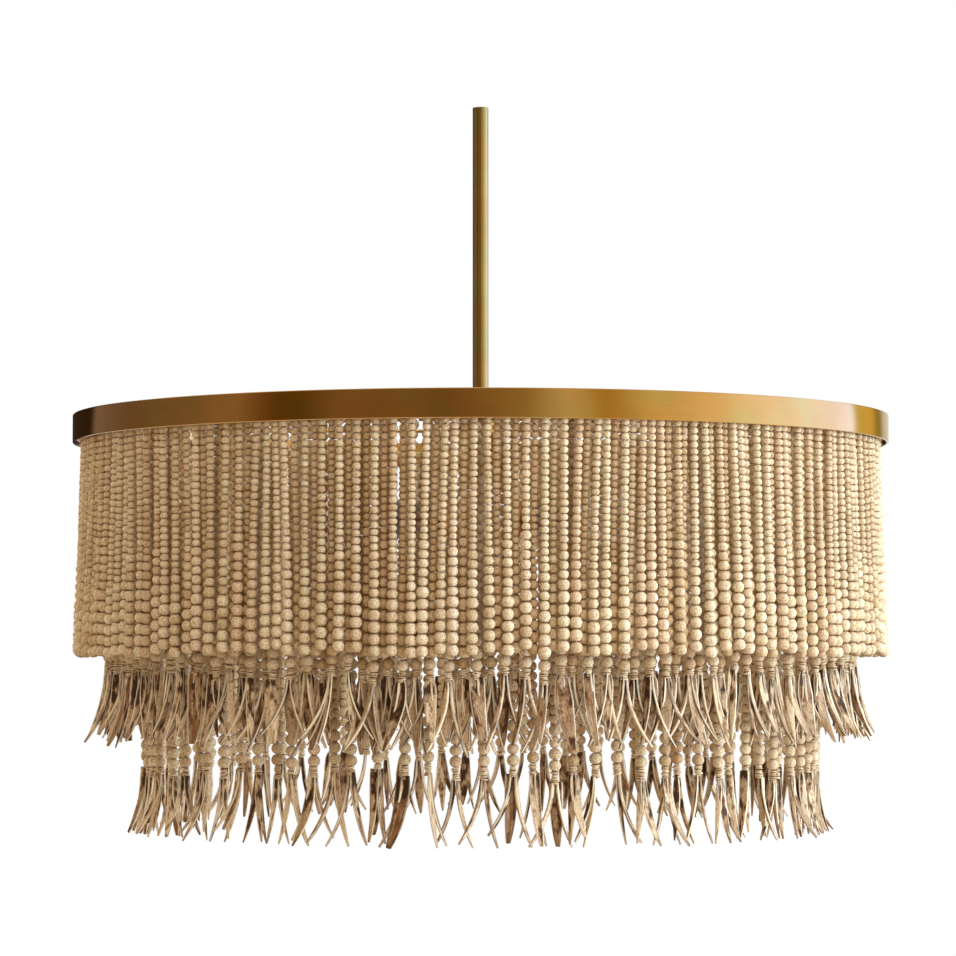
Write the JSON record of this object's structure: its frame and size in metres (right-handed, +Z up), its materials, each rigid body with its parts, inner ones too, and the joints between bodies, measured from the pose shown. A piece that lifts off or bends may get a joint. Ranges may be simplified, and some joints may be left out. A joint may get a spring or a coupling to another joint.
{
  "type": "beaded drum chandelier",
  "caption": "Drum chandelier: a brass band on a down rod, with hinged curtains of wooden bead strands and splayed shards round a lamp cluster.",
  "frame": {"origin": "centre of the down rod's top end", "axes": "+Z up along the rod, +X along one spider arm, +Y along the next"},
  "size_m": [0.813, 0.813, 0.7255],
  "materials": {
    "brass": "satin antique brass",
    "wood": "raw, unvarnished",
    "steel": "zinc plated",
    "moulded": "moulded",
    "glass": "clear, smooth"
  },
  "bodies": {
    "fixture": {"down_rod": "brass", "rod_collar": "brass", "band": "brass", "spider": "brass", "threaded_pipe": "brass", "hub_nut": "steel", "cluster_nut": "steel", "cluster_body": "brass", "finial": "brass", "outer_hanger_ring": "brass", "middle_hanger_ring": "brass", "inner_hanger_ring": "brass", "lampholder_1": "moulded", "lampholder_2": "moulded", "lampholder_3": "moulded", "lampholder_4": "moulded"},
    "outer_panel_01": {"outer_curtain_01": "wood"},
    "outer_panel_02": {"outer_curtain_02": "wood"},
    "outer_panel_03": {"outer_curtain_03": "wood"},
    "outer_panel_04": {"outer_curtain_04": "wood"},
    "outer_panel_05": {"outer_curtain_05": "wood"},
    "outer_panel_06": {"outer_curtain_06": "wood"},
    "outer_panel_07": {"outer_curtain_07": "wood"},
    "outer_panel_08": {"outer_curtain_08": "wood"},
    "outer_panel_09": {"outer_curtain_09": "wood"},
    "outer_panel_10": {"outer_curtain_10": "wood"},
    "outer_panel_11": {"outer_curtain_11": "wood"},
    "outer_panel_12": {"outer_curtain_12": "wood"},
    "middle_panel_01": {"middle_curtain_01": "wood"},
    "middle_panel_02": {"middle_curtain_02": "wood"},
    "middle_panel_03": {"middle_curtain_03": "wood"},
    "middle_panel_04": {"middle_curtain_04": "wood"},
    "middle_panel_05": {"middle_curtain_05": "wood"},
    "middle_panel_06": {"middle_curtain_06": "wood"},
    "middle_panel_07": {"middle_curtain_07": "wood"},
    "middle_panel_08": {"middle_curtain_08": "wood"},
    "middle_panel_09": {"middle_curtain_09": "wood"},
    "middle_panel_10": {"middle_curtain_10": "wood"},
    "middle_panel_11": {"middle_curtain_11": "wood"},
    "middle_panel_12": {"middle_curtain_12": "wood"},
    "inner_panel_01": {"inner_curtain_01": "wood"},
    "inner_panel_02": {"inner_curtain_02": "wood"},
    "inner_panel_03": {"inner_curtain_03": "wood"},
    "inner_panel_04": {"inner_curtain_04": "wood"},
    "inner_panel_05": {"inner_curtain_05": "wood"},
    "inner_panel_06": {"inner_curtain_06": "wood"},
    "inner_panel_07": {"inner_curtain_07": "wood"},
    "inner_panel_08": {"inner_curtain_08": "wood"},
    "inner_panel_09": {"inner_curtain_09": "wood"},
    "inner_panel_10": {"inner_curtain_10": "wood"},
    "inner_panel_11": {"inner_curtain_11": "wood"},
    "inner_panel_12": {"inner_curtain_12": "wood"},
    "bulb_1_body": {"bulb_1": "glass"},
    "bulb_2_body": {"bulb_2": "glass"},
    "bulb_3_body": {"bulb_3": "glass"},
    "bulb_4_body": {"bulb_4": "glass"}
  },
  "joints": [
    {"name": "outer_swing_01", "type": "hinge", "parent": "fixture", "child": "outer_panel_01", "pos_m": [0.38028, 0.1019, -0.3311], "axis": [0.2588, -0.9659, 0], "range_deg": [-2, 12]},
    {"name": "outer_swing_02", "type": "hinge", "parent": "fixture", "child": "outer_panel_02", "pos_m": [0.27839, 0.27839, -0.3311], "axis": [0.7071, -0.7071, 0], "range_deg": [-2, 12]},
    {"name": "outer_swing_03", "type": "hinge", "parent": "fixture", "child": "outer_panel_03", "pos_m": [0.1019, 0.38028, -0.3311], "axis": [0.9659, -0.2588, 0], "range_deg": [-2, 12]},
    {"name": "outer_swing_04", "type": "hinge", "parent": "fixture", "child": "outer_panel_04", "pos_m": [-0.1019, 0.38028, -0.3311], "axis": [0.9659, 0.2588, 0], "range_deg": [-2, 12]},
    {"name": "outer_swing_05", "type": "hinge", "parent": "fixture", "child": "outer_panel_05", "pos_m": [-0.27839, 0.27839, -0.3311], "axis": [0.7071, 0.7071, 0], "range_deg": [-2, 12]},
    {"name": "outer_swing_06", "type": "hinge", "parent": "fixture", "child": "outer_panel_06", "pos_m": [-0.38028, 0.1019, -0.3311], "axis": [0.2588, 0.9659, 0], "range_deg": [-2, 12]},
    {"name": "outer_swing_07", "type": "hinge", "parent": "fixture", "child": "outer_panel_07", "pos_m": [-0.38028, -0.1019, -0.3311], "axis": [-0.2588, 0.9659, 0], "range_deg": [-2, 12]},
    {"name": "outer_swing_08", "type": "hinge", "parent": "fixture", "child": "outer_panel_08", "pos_m": [-0.27839, -0.27839, -0.3311], "axis": [-0.7071, 0.7071, 0], "range_deg": [-2, 12]},
    {"name": "outer_swing_09", "type": "hinge", "parent": "fixture", "child": "outer_panel_09", "pos_m": [-0.1019, -0.38028, -0.3311], "axis": [-0.9659, 0.2588, 0], "range_deg": [-2, 12]},
    {"name": "outer_swing_10", "type": "hinge", "parent": "fixture", "child": "outer_panel_10", "pos_m": [0.1019, -0.38028, -0.3311], "axis": [-0.9659, -0.2588, 0], "range_deg": [-2, 12]},
    {"name": "outer_swing_11", "type": "hinge", "parent": "fixture", "child": "outer_panel_11", "pos_m": [0.27839, -0.27839, -0.3311], "axis": [-0.7071, -0.7071, 0], "range_deg": [-2, 12]},
    {"name": "outer_swing_12", "type": "hinge", "parent": "fixture", "child": "outer_panel_12", "pos_m": [0.38028, -0.1019, -0.3311], "axis": [-0.2588, -0.9659, 0], "range_deg": [-2, 12]},
    {"name": "middle_swing_01", "type": "hinge", "parent": "fixture", "child": "middle_panel_01", "pos_m": [0.33053, 0.15413, -0.3311], "axis": [0.4226, -0.9063, 0], "range_deg": [-2, 2]},
    {"name": "middle_swing_02", "type": "hinge", "parent": "fixture", "child": "middle_panel_02", "pos_m": [0.20918, 0.29874, -0.3311], "axis": [0.8192, -0.5736, 0], "range_deg": [-2, 2]},
    {"name": "middle_swing_03", "type": "hinge", "parent": "fixture", "child": "middle_panel_03", "pos_m": [0.03179, 0.36331, -0.3311], "axis": [0.9962, -0.0872, 0], "range_deg": [-2, 2]},
    {"name": "middle_swing_04", "type": "hinge", "parent": "fixture", "child": "middle_panel_04", "pos_m": [-0.15413, 0.33053, -0.3311], "axis": [0.9063, 0.4226, 0], "range_deg": [-2, 2]},
    {"name": "middle_swing_05", "type": "hinge", "parent": "fixture", "child": "middle_panel_05", "pos_m": [-0.29874, 0.20918, -0.3311], "axis": [0.5736, 0.8192, 0], "range_deg": [-2, 2]},
    {"name": "middle_swing_06", "type": "hinge", "parent": "fixture", "child": "middle_panel_06", "pos_m": [-0.36331, 0.03179, -0.3311], "axis": [0.0872, 0.9962, 0], "range_deg": [-2, 2]},
    {"name": "middle_swing_07", "type": "hinge", "parent": "fixture", "child": "middle_panel_07", "pos_m": [-0.33053, -0.15413, -0.3311], "axis": [-0.4226, 0.9063, 0], "range_deg": [-2, 2]},
    {"name": "middle_swing_08", "type": "hinge", "parent": "fixture", "child": "middle_panel_08", "pos_m": [-0.20918, -0.29874, -0.3311], "axis": [-0.8192, 0.5736, 0], "range_deg": [-2, 2]},
    {"name": "middle_swing_09", "type": "hinge", "parent": "fixture", "child": "middle_panel_09", "pos_m": [-0.03179, -0.36331, -0.3311], "axis": [-0.9962, 0.0872, 0], "range_deg": [-2, 2]},
    {"name": "middle_swing_10", "type": "hinge", "parent": "fixture", "child": "middle_panel_10", "pos_m": [0.15413, -0.33053, -0.3311], "axis": [-0.9063, -0.4226, 0], "range_deg": [-2, 2]},
    {"name": "middle_swing_11", "type": "hinge", "parent": "fixture", "child": "middle_panel_11", "pos_m": [0.29874, -0.20918, -0.3311], "axis": [-0.5736, -0.8192, 0], "range_deg": [-2, 2]},
    {"name": "middle_swing_12", "type": "hinge", "parent": "fixture", "child": "middle_panel_12", "pos_m": [0.36331, -0.03179, -0.3311], "axis": [-0.0872, -0.9962, 0], "range_deg": [-2, 2]},
    {"name": "inner_swing_01", "type": "hinge", "parent": "fixture", "child": "inner_panel_01", "pos_m": [0.26893, 0.18831, -0.3311], "axis": [0.5736, -0.8192, 0], "range_deg": [-2.5, 2]},
    {"name": "inner_swing_02", "type": "hinge", "parent": "fixture", "child": "inner_panel_02", "pos_m": [0.13875, 0.29754, -0.3311], "axis": [0.9063, -0.4226, 0], "range_deg": [-2.5, 2]},
    {"name": "inner_swing_03", "type": "hinge", "parent": "fixture", "child": "inner_panel_03", "pos_m": [-0.02861, 0.32705, -0.3311], "axis": [0.9962, 0.0872, 0], "range_deg": [-2.5, 2]},
    {"name": "inner_swing_04", "type": "hinge", "parent": "fixture", "child": "inner_panel_04", "pos_m": [-0.18831, 0.26893, -0.3311], "axis": [0.8192, 0.5736, 0], "range_deg": [-2.5, 2]},
    {"name": "inner_swing_05", "type": "hinge", "parent": "fixture", "child": "inner_panel_05", "pos_m": [-0.29754, 0.13875, -0.3311], "axis": [0.4226, 0.9063, 0], "range_deg": [-2.5, 2]},
    {"name": "inner_swing_06", "type": "hinge", "parent": "fixture", "child": "inner_panel_06", "pos_m": [-0.32705, -0.02861, -0.3311], "axis": [-0.0872, 0.9962, 0], "range_deg": [-2.5, 2]},
    {"name": "inner_swing_07", "type": "hinge", "parent": "fixture", "child": "inner_panel_07", "pos_m": [-0.26893, -0.18831, -0.3311], "axis": [-0.5736, 0.8192, 0], "range_deg": [-2.5, 2]},
    {"name": "inner_swing_08", "type": "hinge", "parent": "fixture", "child": "inner_panel_08", "pos_m": [-0.13875, -0.29754, -0.3311], "axis": [-0.9063, 0.4226, 0], "range_deg": [-2.5, 2]},
    {"name": "inner_swing_09", "type": "hinge", "parent": "fixture", "child": "inner_panel_09", "pos_m": [0.02861, -0.32705, -0.3311], "axis": [-0.9962, -0.0872, 0], "range_deg": [-2.5, 2]},
    {"name": "inner_swing_10", "type": "hinge", "parent": "fixture", "child": "inner_panel_10", "pos_m": [0.18831, -0.26893, -0.3311], "axis": [-0.8192, -0.5736, 0], "range_deg": [-2.5, 2]},
    {"name": "inner_swing_11", "type": "hinge", "parent": "fixture", "child": "inner_panel_11", "pos_m": [0.29754, -0.13875, -0.3311], "axis": [-0.4226, -0.9063, 0], "range_deg": [-2.5, 2]},
    {"name": "inner_swing_12", "type": "hinge", "parent": "fixture", "child": "inner_panel_12", "pos_m": [0.32705, 0.02861, -0.3311], "axis": [0.0872, -0.9962, 0], "range_deg": [-2.5, 2]},
    {"name": "bulb_1_out", "type": "slide", "parent": "fixture", "child": "bulb_1_body", "axis": [1, 0, 0], "range_m": [0, 0.035]},
    {"name": "bulb_2_out", "type": "slide", "parent": "fixture", "child": "bulb_2_body", "axis": [0, 1, 0], "range_m": [0, 0.035]},
    {"name": "bulb_3_out", "type": "slide", "parent": "fixture", "child": "bulb_3_body", "axis": [-1, 0, 0], "range_m": [0, 0.035]},
    {"name": "bulb_4_out", "type": "slide", "parent": "fixture", "child": "bulb_4_body", "axis": [0, -1, 0], "range_m": [0, 0.035]}
  ]
}
